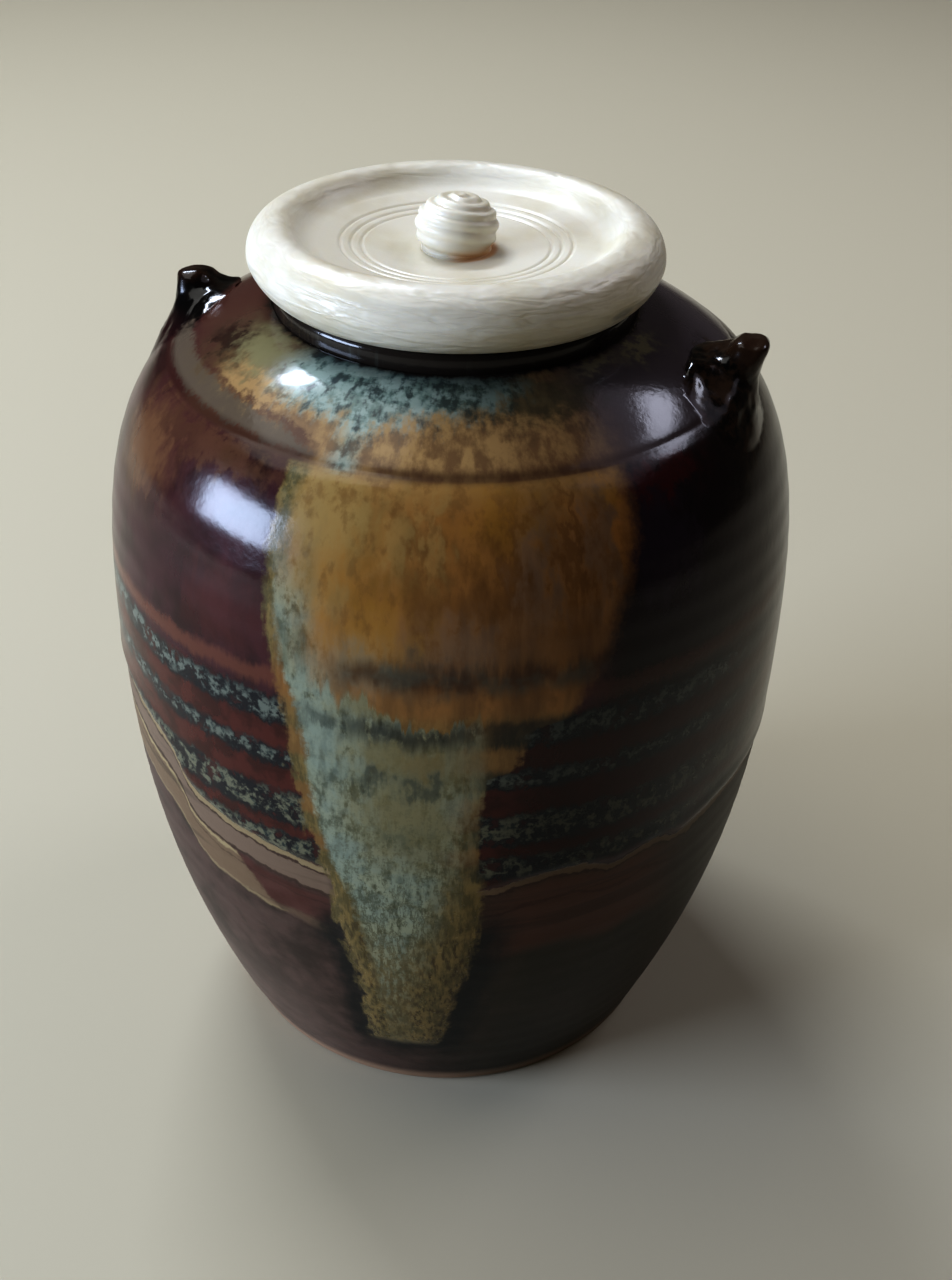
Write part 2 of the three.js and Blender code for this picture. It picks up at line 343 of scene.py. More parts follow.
# Where the glaze lies. Its sides are drawn as (height, degrees round the axis) and its hem as
# (degrees, height). -90 faces the camera, and the degrees run from -270 to 90 and meet behind
glaze = {
    "fieldLeft": [(76, -119.8), (70, -119), (65, -118.6), (60, -117.2), (55, -115), (50, -114),
                  (45, -112.5), (40, -110.3), (36, -109), (30, -108.3), (24, -106), (18, -105.7),
                  (10, -106)],
    "fieldRight": [(76, -59), (74, -60), (70.7, -60.7), (68.6, -61.9), (65.6, -63.9), (62.4, -66.1),
                   (60, -68), (58.2, -70), (56, -72), (54.6, -79), (51.4, -80), (50, -84),
                   (46, -85.5), (42, -85), (38, -84.6), (33, -84.4), (27, -85.6), (20, -88),
                   (13.4, -89.8), (10, -91)],
    "paleLeft": [(76, -119), (70, -118), (65, -117), (60, -115.5), (56, -113), (50, -111.5), (45, -110.5),
                 (40, -108.5), (36, -106), (32, -104.4), (28, -103), (18, -102), (10, -101.5)],
    "paleRight": [(76, -113), (72, -113), (68, -112), (64, -111.5), (61, -110.5), (59, -109), (57.4, -105),
                  (56.2, -96), (55.2, -87), (50, -86.8), (45, -87.8), (40, -89), (36, -90.5), (32, -92),
                  (28, -94), (24, -95.5), (18, -97), (10, -98)],
    "runEnd": 10,
    "hem": [(-270, 40), (-240, 41), (-200, 44), (-180, 45.5), (-160, 46), (-150, 45.2), (-144, 44.6),
            (-140, 43.4), (-137, 41), (-133, 40), (-128, 39.5), (-118, 38.6), (-108, 37.8), (-92, 36.6),
            (-84, 36.8), (-76, 38), (-70, 38.3), (-62, 37.2), (-54, 38), (-48, 37), (-38, 38), (-20, 38.5),
            (20, 41), (60, 39), (90, 40)],
    "bands": [(56.2, 53.4), (51, 48.9), (46.2, 42.4), (41.2, 38.4)],
    "orangeSpans": [(56.6, 59.5), (50.8, 53.6), (44.6, 48), (40.4, 42.4)],  # on the borders
    # lines below the hem: how far below, half width, strength
    "lowerLines": [(0.85, 0.16, 0.8), (3.6, 0.2, 0.75), (5.1, 0.1, 0.45), (9.5, 0.1, 0.25)],
    # on the slope, as (degrees, height): the taupe band's upper side and the pale ash's lower one
    "taupeTop": [(-178, 77.4), (-150, 77.5), (-134, 77.2), (-124, 76.7), (-114, 75.8)],
    "ashEdge": [(-175, 82), (-150, 80.6), (-138, 79.4), (-126, 78.7), (-114, 78.4), (-110, 77.4),
                (-104, 78.8), (-96, 79.4), (-84, 80.2), (-70, 82), (-50, 83.6)],
    "coat": 0.16,  # thickness of the upper glaze, mm
    "bead": 0.6,  # how much thicker it is just above its hem
    "beadHeight": 1,
    "beadWidth": 0.8,
    "run": 0.22,  # thickness of the run
    "runFades": (42, 60),
    "ridges": 0.016,
    "ridgePitch": 2.7,
    "groove": 0.1,  # depth of the turned line at the ring
    "grooveWidth": 0.55,
    "rough": 0.44,
    "gloss": 0.25,  # how much smoother the upper glaze is
    "slopeGloss": 0.06,
    "ashRough": 0.14,
    "roughGrain": 0.05,
    "bumpStrength": 0.35,
    "bumpDistance": 0.0003,
    "ior": 1.5,
    "specular": 0.33,
}


def readLine(places, points):
    points = sorted(points)
    return np.interp(places, [p[0] for p in points], [p[1] for p in points])


def smoothStep(value, low, high):
    t = np.clip((value - low) / (high - low), 0, 1)
    return t * t * (3 - 2 * t)


def bodyRelief(radius, height, angle):
    degrees = (np.degrees(angle) + 270) % 360 - 270
    outside = radius > np.interp(height, wallLine[:, 1], wallLine[:, 0]) - body["wall"] / 2
    outside &= height > body["footBevel"]
    wall = outside * smoothStep(height, 1, 5)
    below = smoothStep(body["ringHeight"] - height, 0.3, 2)
    turns = height / glaze["ridgePitch"] + angle / (2 * math.pi)
    ridges = np.sin(2 * math.pi * turns) * glaze["ridges"] * (0.6 + 0.4 * np.sin(height * 0.21 + 1))
    above = height - readLine(degrees, glaze["hem"])
    bead = glaze["bead"] * np.exp(-((above - glaze["beadHeight"]) / glaze["beadWidth"]) ** 2)
    coat = glaze["coat"] * smoothStep(above, -0.2, 0.9) * (1 + bead)
    left = readLine(height, glaze["fieldLeft"])
    right = readLine(height, glaze["fieldRight"])
    across = np.minimum(degrees - left, right - degrees)
    run = glaze["run"] * smoothStep(across, -0.5, 2.5)
    run *= smoothStep(height, glaze["runEnd"] - 1, glaze["runEnd"] + 1)
    run *= 1 - smoothStep(height, *glaze["runFades"])
    oval = body["outOfRound"] * np.sin(2 * angle + body["outOfRoundTurn"])
    fromRing = np.hypot(radius - body["ringRadius"], height - body["ringHeight"])
    groove = glaze["groove"] * np.exp(-(fromRing / glaze["grooveWidth"]) ** 2)
    return wall * (ridges * below + np.maximum(coat, run) + oval - groove)


def bodyShell():
    b = body
    inner = inset(wallLine, b["wall"])
    inner = inner[(inner[:, 1] > b["floor"] + b["corner"]) & (inner[:, 0] > b["mouthRadius"])]
    inner = inner[np.argsort(inner[:, 1])][::6]
    outer = np.vstack([
        [(0, 0)],
        [(r, 0) for r in (8, 15, 20)],
        roundEdge(b["footRadius"] - b["footBevel"], b["footBevel"], b["footBevel"], -90, 0),
        lowerLine, shoulderLine[1:],
        bezier(shoulderLine[-1], shoulderLine[-1] + (-0.2, 0.12),
               slopeLine[0] + (0.15, -0.1), slopeLine[0], 4),
        slopeLine[1:],
        [(b["neckRadius"] + 0.02, b["neckFoot"] + 0.4)],
        roundEdge(b["neckRadius"] - b["lip"], b["mouth"] - b["lip"], b["lip"], 0, 90),
        roundEdge(b["mouthRadius"] + b["lip"], b["mouth"] - b["lip"], b["lip"], 90, 180),
        [(b["mouthRadius"], b["neckFoot"] - b["wall"])],
    ])
    cavity = np.vstack([
        inner[::-1],
        bezier(inner[0], inner[0] - (0.3, b["corner"]), (inner[0][0] - b["corner"], b["floor"]),
               (inner[0][0] - b["corner"] * 2, b["floor"]), 6),
        [(12, b["floor"]), (6, b["floor"]), (0, b["floor"])],
    ])
    return turned("caddyBody", np.vstack([outer, cavity]), b["segments"], bodyRelief)


# Lugs: pinched tabs on wide roots, built of loops that rise off the shoulder and close at the crest
lug = {
    "turn": -17,
    "rootDepth": 4,
    "rows": [
        # share of the rise, outer reach, inner reach, half width, lean to the front;
        # the first rows lie inside the wall
        (-0.4, 26, 25.6, 0.1, 0), (-0.4, 28, 23, 4.6, 1.6), (-0.3, 29.5, 21.6, 7, 2.3),
        (-0.03, 29.5, 21.6, 6.8, 2.3), (0.06, 29, 22, 5.8, 2), (0.16, 28.5, 22.3, 4.9, 1.4),
        (0.3, 28.2, 22.8, 4, 0.8), (0.45, 28.1, 23.6, 3.3, 0.3), (0.6, 28.3, 24.5, 2.8, 0),
        (0.75, 28.5, 25.2, 2.4, 0), (0.87, 28.7, 25.6, 2.1, 0), (0.95, 28.7, 25.9, 1.7, 0),
        (1, 28.4, 26.3, 1.1, 0), (1.02, 27.5, 27.4, 0.05, 0),
    ],
    "square": 0.78,  # 1 is an oval loop, less is squarer
    "around": 84,
    "loops": 76,
    "evened": 3,  # times the rows are evened out
    "shake": 0.4,  # how far the clay wanders from the rows, mm
    "shakeScale": 0.36,
    "fineShare": 0.2,
    "fineScale": 1.1,
    "wander": [(9.3, -1.5, -7.9), (0, 0, 0), (6.3, 0.2, -2.7)],  # where each axis reads the noise
    "thumbReach": 23.8,  # where each side is pressed in
    "thumbWidth": 0.9,
    "thumbRise": 0.25,
    "thumbHeight": 0.2,
    "heelShare": 0.34,  # where the side towards the lid bulges
    "heelHeight": 0.22,
    "places": [
        # degrees beyond the turn, crest height, shift of the reach, side of the lug that is its front,
        # depth of the thumb marks, bulge towards the lid
        (0, 79.7, -0.1, -1, 0.35, 0.5), (181, 79, -1.6, 1, 1, 1),
    ],
}


def surfaceHeight(distance):
    return np.interp(distance, topLine[:, 0], topLine[:, 1])


# a smooth shift in space, the same on each run
def wander(spot):
    return Vector([noise.noise(spot + Vector(place)) for place in lug["wander"]])


def lugPiece(name, turnDegrees, crest, shift, front, thumb, heel):
    rows = np.array(lug["rows"])
    t = np.linspace(0, len(rows) - 1, lug["loops"])
    share, outer, inner, width, lean = (np.interp(t, range(len(rows)), rows[:, k]) for k in range(5))
    for line in (share, outer, inner, width, lean):
        for _ in range(lug["evened"]):
            line[1:-1] = (line[:-2] + 2 * line[1:-1] + line[2:]) / 4
    inner = inner - heel * np.exp(-((share - lug["heelShare"]) / lug["heelHeight"]) ** 2)
    angles = np.linspace(0, 2 * math.pi, lug["around"], endpoint=False)
    square = [np.sign(v) * np.abs(v) ** lug["square"] for v in (np.cos(angles), np.sin(angles))]
    heading = math.radians(turnDegrees)
    points = []
    for k in range(len(t)):
        out = (outer[k] + inner[k]) / 2 + (outer[k] - inner[k]) / 2 * square[0] + shift * max(share[k], 0)
        side = width[k] * square[1] + lean[k] * front
        press = np.exp(-((out - lug["thumbReach"]) / lug["thumbWidth"]) ** 2
                       - ((share[k] - lug["thumbRise"]) / lug["thumbHeight"]) ** 2)
        side -= np.sign(square[1]) * np.minimum(press * thumb, np.abs(side) * 0.6)
        root = surfaceHeight(np.hypot(out, side))
        height = root + (crest - root if share[k] > 0 else lug["rootDepth"]) * share[k]
        for i in range(len(angles)):
            spot = Vector((out[i], side[i], height[i]))
            amount = lug["shake"] * min(max(share[k], 0) * 5, 1)
            spot += wander(spot * lug["shakeScale"] + Vector((turnDegrees, 0, 0))) * amount
            amount *= lug["fineShare"]
            spot += wander(spot * lug["fineScale"] + Vector((0, turnDegrees, 0))) * amount
            points.append((
                (spot.x * math.cos(heading) - spot.y * math.sin(heading)) * mm,
                (spot.x * math.sin(heading) + spot.y * math.cos(heading)) * mm,
                spot.z * mm))
    count = lug["around"]
    faces = []
    for k in range(len(t) - 1):
        for i in range(count):
            j = (i + 1) % count
            faces.append((k * count + i, k * count + j, (k + 1) * count + j, (k + 1) * count + i))
    faces.append(tuple(reversed(range(count))))
    faces.append(tuple(range((len(t) - 1) * count, len(t) * count)))
    return makePiece(name, points, faces)


# The union is made at a thousand times the size, where the quick solver is sure
def join(target, other):
    for piece in (target, other):
        piece.data.transform(Matrix.Scale(1 / mm, 4))
    modifier = target.modifiers.new("join", "BOOLEAN")
    modifier.operation = "UNION"
    modifier.solver = "FAST"
    modifier.object = other
    evaluated = target.evaluated_get(bpy.context.evaluated_depsgraph_get())
    mesh = bpy.data.meshes.new_from_object(evaluated)
    target.modifiers.clear()
    mesh.transform(Matrix.Scale(mm, 4))
    target.data = mesh
    bpy.data.objects.remove(other)


caddyBody = bodyShell()
for around, *shape in lug["places"]:
    join(caddyBody, lugPiece("lug", lug["turn"] + around, *shape))
caddyBody.data.name = "caddyBody"
smooth(caddyBody)
print("body made,", len(caddyBody.data.polygons), "faces")


# Lid: a turned disc with a rounded rim, a dished top, a ball knob and a plug below
lid = {
    "under": 81.4,
    "radius": 18.7,
    "rim": 5.6,
    "dishRadius": 12.4,
    "dishEdge": 1.75,
    "dishDepth": 2.8,
    "grooves": (10.4, 9.4, 8.5),
    "grooveWidth": 0.15,
    "grooveDepth": 0.13,
    "plugRadius": 13.2,
    "plugDepth": 2.3,
    "plugBevel": 0.5,
    "knobRadius": 3.75,
    "knobFoot": 2.85,
    "knobHeight": 4.9,
    "knobWaist": 0.45,
    "knobFillet": 0.35,
    "spiralTurns": 4.5,
    "spiralDepth": 0.22,
    "spiralRise": 0.8,
    "spiralCrown": 0.5,  # how much further the ridge winds on the knob's top
    "spiralSlant": 0.12,  # the ridge dips to one side
    "spiralSlantTurn": 0.9,
    "spiralFlat": 0.7,  # 1 is a round wave, less has narrower furrows
    "rimWander": 0.05,
    "segments": 288,
}
lid["crest"] = lid["under"] + lid["rim"]
lid["dishFloor"] = lid["crest"] - lid["dishDepth"]


def dishHeight(radius):
    return lid["dishFloor"] + (lid["dishDepth"] - lid["dishEdge"]) * (radius / lid["dishRadius"]) ** 2


def lidProfile():
    half = lid["rim"] / 2
    crestRadius = lid["radius"] - half
    middle = lid["under"] + half
    dishTilt = 2 * (lid["dishDepth"] - lid["dishEdge"]) / lid["dishRadius"]
    under = bezier((crestRadius, lid["under"]), (crestRadius + half * 0.6, lid["under"]),
                   (lid["radius"], middle - half * 0.25), (lid["radius"], middle), 22)
    over = bezier((lid["radius"], middle), (lid["radius"], middle + half * 0.55),
                  (crestRadius + half * 0.6, lid["crest"]), (crestRadius, lid["crest"]), 22)
    dishTop = dishHeight(lid["dishRadius"])
    inward = bezier((crestRadius, lid["crest"]), (crestRadius - half * 0.55, lid["crest"]),
                    (lid["dishRadius"] + half * 0.7, dishTop + half * 0.7 * dishTilt),
                    (lid["dishRadius"], dishTop), 24)
    footRadius = lid["knobFoot"] + lid["knobFillet"]
    radii = np.arange(lid["dishRadius"] - 0.1, footRadius, -0.09)
    cuts = sum(np.exp(-((radii - g) / lid["grooveWidth"]) ** 2) for g in lid["grooves"])
    dish = np.stack([radii, dishHeight(radii) - cuts * lid["grooveDepth"]], 1)
    foot = lid["dishFloor"]
    waist = foot + lid["knobHeight"] * lid["knobWaist"]
    top = foot + lid["knobHeight"]
    flank = bezier((footRadius, dishHeight(lid["knobFoot"])), (lid["knobFoot"] - 0.1, foot + 0.02),
                   (lid["knobRadius"], waist - 1.3), (lid["knobRadius"], waist), 26)
    crown = bezier((lid["knobRadius"], waist), (lid["knobRadius"], waist + (top - waist) * 0.6),
                   (lid["knobRadius"] * 0.6, top), (0.02, top), 40)
    base = lid["under"] - lid["plugDepth"]
    return np.vstack([
        [(0, base), (6, base), (lid["plugRadius"] - lid["plugBevel"], base)],
        [(lid["plugRadius"], base + lid["plugBevel"]), (lid["plugRadius"], lid["under"])],
        under, over, inward, dish, flank, crown, [(0, top)],
    ])


def lidRelief(radius, height, angle):
    onKnob = (radius < lid["knobRadius"] + 0.1) & (height > lid["dishFloor"] + 0.3)
    share = (height - lid["dishFloor"]) / lid["knobHeight"]
    slant = lid["spiralSlant"] * np.cos(angle - lid["spiralSlantTurn"])
    crown = smoothStep(share, 0.45, 0.65) * (1 - radius / lid["knobRadius"])
    path = share * lid["spiralRise"] + crown * lid["spiralCrown"] + slant
    wave = np.cos(2 * math.pi * lid["spiralTurns"] * path + angle)
    offTop = smoothStep(radius, 0.05, 0.6)
    knob = onKnob * offTop * (np.abs((wave + 1) / 2) ** lid["spiralFlat"] - 1) * lid["spiralDepth"]
    rim = (radius > lid["dishRadius"]) * lid["rimWander"] * np.sin(3 * angle + 1) * np.sin(2 * angle)
    return knob + rim


lidPiece = turned("caddyLid", lidProfile(), lid["segments"], lidRelief)
smooth(lidPiece)
print("lid made,", len(lidPiece.data.polygons), "faces")


# Glaze of the body
inks = {
    "plum": "3e1f24",
    "plumDeep": "230d10",
    "redPlum": "5a231c",
    "brownPatch": "6c4f37",
    "brownStripe": "633a2c",
    "blackBrown": "0e0908",
    "purpleBlack": "302633",
    "redDark": "451214",
    "redBand": "4c211b",
    "redBandDark": "240a08",
    "tealDark": "0f181d",
    "tealPale": "71776b",
    "tealDim": "2f3a37",
    "amber": "94693a",
    "amberDeep": "664626",
    "amberGold": "9c732f",
    "amberPale": "9d8453",
    "amberGrey": "6d5d50",
    "ochre": "7a6840",
    "olive": "413e27",
    "orange": "875f36",
    "ash": "91957d",
    "ashBlue": "849184",
    "ashOchre": "7c7350",
    "ashDark": "4b4e3b",
    "khaki": "76614a",
    "cream": "a2926c",
    "taupe": "776453",
    "lineBrown": "2a120d",
    "satin": "503d36",
    "satinPaleAndSheen": "806c60",
    "satinDark": "201712",
    "satinOlive": "2a271b",
    "halo": "0b1113",
    "foot": "9c8069",
    "slopePale": "98aba2",
    "slopeAsh": "6f8880",
    "slopeTeal": "1b2f35",
    "slopeRust": "452524",
    "slopeOlive": "7c7656",
    "slopeAmber": "a6885c",
    "slopeBrown": "5a3f2f",
    "slopeBand": "5c5144",
    "slopeMoss": "2a3026",
    "slopeGreyAndSheen": "453d42",
    "lugBlack": "060506",
    "lugEdge": "3a261b",
    "lugBrown": "35261b",
    "neck": "2a241f",
    "inside": "3a2419",
}

# Soft touches of one ink: ink, degrees, height, half its width in degrees, half its height, strength
touches = {
    "ground": [
        ("redPlum", -126, 63, 8, 4, 0.4), ("brownPatch", -154, 71, 9, 3.4, 0.85),
        ("brownPatch", -134, 73.8, 15, 1, 0.5), ("plumDeep", -141, 65.5, 11, 3.4, 0.3),
        ("plumDeep", -122, 68, 3, 6, 0.4), ("purpleBlack", -56, 69, 8, 5, 0.7),
        ("redDark", -52, 73.7, 8, 1.1, 0.7), ("redDark", -62, 50, 9, 1.6, 0.5),
        ("plumDeep", -147, 73.5, 8, 1, 0.3),
    ],
    "amber": [
        ("amberGold", -101, 63.4, 6, 3, 0.65), ("amberGold", -104, 69, 5, 4, 0.3),
        ("amberGold", -80, 72.6, 6, 2, 0.6), ("amberGold", -64, 73.8, 3, 1.2, 0.6),
        ("amberPale", -98, 71, 2, 2.4, 0.5), ("amberPale", -92.5, 71.4, 1.5, 3, 0.45),
        ("amberPale", -110, 72.5, 8, 3.4, 0.85), ("amberPale", -111, 66.5, 4, 3, 0.5),
        ("amberGrey", -88, 63, 7, 2.6, 0.55),
        ("amberDeep", -87, 66.4, 8, 1.2, 0.4), ("amberDeep", -80.5, 69, 1.5, 5, 0.6),
        ("amberDeep", -71.5, 70, 1.3, 5.5, 0.7), ("amberGrey", -76.5, 68.5, 3, 5, 0.6),
        ("amberGrey", -66.5, 69.5, 2.8, 5, 0.6), ("amberDeep", -71, 62.5, 7, 2.5, 0.55),
        ("ashBlue", -103, 60.5, 6, 2, 0.3), ("tealDim", -92, 61, 9, 1.2, 0.4),
    ],
    "run": [
        ("ashOchre", -99.5, 52.3, 5, 1.5, 0.75), ("ochre", -92.5, 51.8, 3, 1.6, 0.6),
        ("tealDim", -101.5, 49.8, 2.2, 1, 0.7), ("tealDim", -93.5, 49.2, 3.2, 1, 0.75),
        ("tealDim", -110, 54.8, 4, 1, 0.6), ("ashOchre", -98, 46.6, 5, 2, 0.6),
        ("tealDim", -108, 49.6, 1.4, 0.8, 0.35), ("ashOchre", -92, 44.5, 3, 2.4, 0.55),
        ("ashDark", -97, 43.4, 3, 1, 0.5), ("ashBlue", -109, 46.5, 2.6, 4, 0.2),
        ("ashBlue", -111.5, 52, 3, 2, 0.5), ("ashBlue", -106, 41, 3, 1.4, 0.5),
        ("ashDark", -113, 61.5, 2.4, 1.6, 0.5), ("ashDark", -110, 66, 2, 2, 0.35),
        ("ashDark", -115.5, 62, 1.6, 3, 0.5),
    ],
    "slope": [
        ("slopeOlive", -147, 81.8, 13, 2.6, 0.95), ("plumDeep", -160, 80.4, 6, 1.6, 0.85),
        ("plumDeep", -153, 78.9, 4, 1.1, 0.6), ("slopeAmber", -136, 78.6, 13, 0.8, 0.7),
        ("slopeMoss", -70, 81.6, 16, 2.4, 0.75), ("slopeOlive", -30, 83, 7, 0.9, 0.6),
        ("slopeOlive", -48, 83.8, 7, 0.8, 0.4),
    ],
}


def addTouches(g, at, ink, colour, name):
    for code, degrees, height, halfWidth, halfHeight, strength in touches[name]:
        spot = g.oval(at.degreesT, at.upT, (degrees, height), (halfWidth, halfHeight))
        colour = g.blend(colour, ink[code], spot * strength)
    return colour


# where a spot of the wall lies, and the noises that all the inks share
def wallPlaces(g):
    place, x, y, z, radius, degrees = g.places()
    # up runs on past the ring, so that 75 to 85 is the slope from the ring to the neck
    onSlope = z.rise(body["ringHeight"] - 0.05, body["ringHeight"] + 0.05)
    up = z * (1 - onSlope) + onSlope * (body["ringHeight"] + body["ringRadius"] - radius)
    at = SimpleNamespace(x=x, y=y, z=z, degrees=degrees, radius=radius, up=up)
    at.broad = g.noise(place, 0.09, 2)
    at.medium = g.noise(place, 0.4, 3)
    at.fine = g.noise(place, 1.5, 3, 0.6)
    at.grains = g.noise(place, 3.4, 2, 0.65)
    at.runs = g.noise(g.stretch(place, 0.95, 0.95, 0.1), 1, 3, 0.55)
    at.fineRuns = g.noise(g.stretch(place, 2.6, 2.6, 0.5), 1, 3, 0.65)
    at.cloud = g.noise(g.stretch(place, 0.75, 0.75, 0.4), 1, 4, 0.6)
    at.blotch = g.noise(g.stretch(place, 1.1, 1.1, 0.5), 1, 4, 0.65)
    at.streaks = g.noise(g.stretch(place, 0.42, 0.42, 0.05), 1, 2, 0.5)
    at.rings = g.noise(g.stretch(place, 0.03, 0.03, 0.8), 1, 3, 0.55)
    flow = g.node("ShaderNodeCombineXYZ", None, {0: degrees * 0.36, 1: up * 0.42})
    at.flow = g.noise(flow, 1, 4, 0.6)
    fineFlow = g.node("ShaderNodeCombineXYZ", None, {0: degrees * 0.9, 1: up * 0.6})
    at.fineFlow = g.noise(fineFlow, 1, 3, 0.6)
    at.degreesW = degrees + (at.runs - 0.5) * 3.4 + (at.fine - 0.5) * 2.2
    at.upW = up + (at.medium - 0.5) * 1.3 + (at.fineRuns - 0.5) * 1.3
    at.degreesT = at.degreesW + (at.medium - 0.5) * 6 + (at.runs - 0.5) * 10
    at.upT = at.upW + (at.cloud - 0.5) * 6
    at.blobs = g.noise(place, 0.8, 3, 0.65)
    at.right = degrees.rise(-90, -74) * degrees.fall(20, 80)
    at.showing = degrees.rise(-240, -200)  # the left side's marks fade out behind
    return at


# upper glaze: plum on the left, nearly black on the right, red-brown below the belly's top band
def groundPaint(g, at, ink):
    colour = g.blend(ink["plum"], ink["plumDeep"], (at.broad * 0.6 + at.medium * 0.4).rise(0.42, 0.62))
    colour = g.blend(colour, ink["blackBrown"], at.degrees.rise(-72, -62) * at.degrees.fall(-10, 40) * 0.9)
    colour = addTouches(g, at, ink, colour, "ground")
    stripe = at.upW.within(57.1, 58.7, 0.5)
    colour = g.blend(colour, ink["brownStripe"], stripe * (0.8 - at.right * 0.55))
    red = g.blend(ink["redBand"], ink["redBandDark"], at.medium.rise(0.4, 0.6) * 0.6)
    red = g.blend(red, ink["redBandDark"], at.right * 0.85)
    return g.blend(colour, red, at.upW.fall(55.6, 56.6))


# speckled bands: ragged dark teal with gaps, and pale blobs on it
def bandPaint(g, at, ink, colour):
    lift = at.degrees.fall(-152, -138) * at.showing * 0.8 - (at.cloud - 0.5) * 2
    height = at.up - lift + (at.fine - 0.5) * 1.2
    gaps = (at.medium + at.fine * 0.5).rise(0.56, 0.68)
    blob = (at.blobs * 0.75 + at.fine * 0.25).rise(0.45, 0.57)
    paleInk = g.blend(ink["tealPale"], ink["ashOchre"], at.up.fall(44, 52) * 0.5)
    spot = g.blend(ink["tealDim"], paleInk, at.fine.rise(0.34, 0.56))
    for top, bottom in glaze["bands"]:
        colour = g.blend(colour, ink["tealDark"], height.within(bottom, top, 0.35) * (gaps * 0.5 + 0.43))
        pale = blob * height.within(bottom + 0.6, top - 0.3, 0.5)
        colour = g.blend(colour, spot, pale * (0.75 - at.right * 0.5))
    return colour


# below the hem of the upper glaze: a cream edge, taupe strata with thin lines, then satin brown
def lowerPaint(g, at, ink, under):
    darker = (at.broad * 0.5 + at.medium * 0.5).rise(0.4, 0.62)
    bare = g.blend(ink["satin"], ink["satinDark"], darker * 0.7)
    bare = g.blend(bare, ink["satinOlive"], at.degrees.rise(-104, -74) * at.degrees.fall(20, 80) * 0.85)
    # paler satin low on the left: partly the glaze's own tone, partly a painted sheen where the lit floor
    # reflects
    paleFootAndSheen = at.degrees.fall(-125, -104) * at.showing * at.z.fall(6, 24)
    bare = g.blend(bare, ink["satinPaleAndSheen"], paleFootAndSheen * 0.42)
    left = at.degrees.fall(-110, -107) * at.showing
    beyond = (at.degreesW - under * 1.8).fall(-136, -133.5)
    wideBand = under.within(0.6, 3.7, 0.15)
    bare = g.blend(bare, ink["taupe"], wideBand * left * 0.9)
    bare = g.blend(bare, ink["khaki"], under.within(3.7, 9, 0.5) * beyond * at.showing * 0.85)
    bare = g.blend(bare, ink["redPlum"], under.within(4, 8.2, 0.5) * left * (1 - beyond) * 0.45)
    bare = g.blend(bare, ink["khaki"], under.within(8, 9.2, 0.4) * left * (1 - beyond) * 0.4)
    bare = g.blend(bare, ink["cream"], under.within(4, 4.5, 0.15) * beyond * at.showing * 0.7)
    bare = g.blend(bare, ink["cream"], under.within(8.7, 9.1, 0.15) * beyond * at.showing * 0.4)
    brown = at.degrees.within(-84, -50, 8) * under.within(0.8, 10.5, 1.2) * (1 - left)
    bare = g.blend(bare, ink["brownStripe"], brown * 0.5)
    strata = at.rings.rise(0.5, 0.62) * under.within(1.2, 9, 1)
    bare = g.blend(bare, ink["satinDark"], strata * 0.35)
    for depth, width, strength in glaze["lowerLines"]:
        line = under.within(depth - width, depth + width, 0.1)
        bare = g.blend(bare, ink["lineBrown"], line * (strength - at.right * 0.4))
    edge = g.blend(ink["khaki"], ink["cream"], left * 0.5)
    bare = g.blend(bare, edge, under.within(-0.4, 0.7, 0.12) * (0.95 - at.right * 0.45))
    footTint = at.z.fall(0.8, 2.6) * (0.95 - at.right * 0.4)
    return g.blend(bare, ink["foot"], footTint)


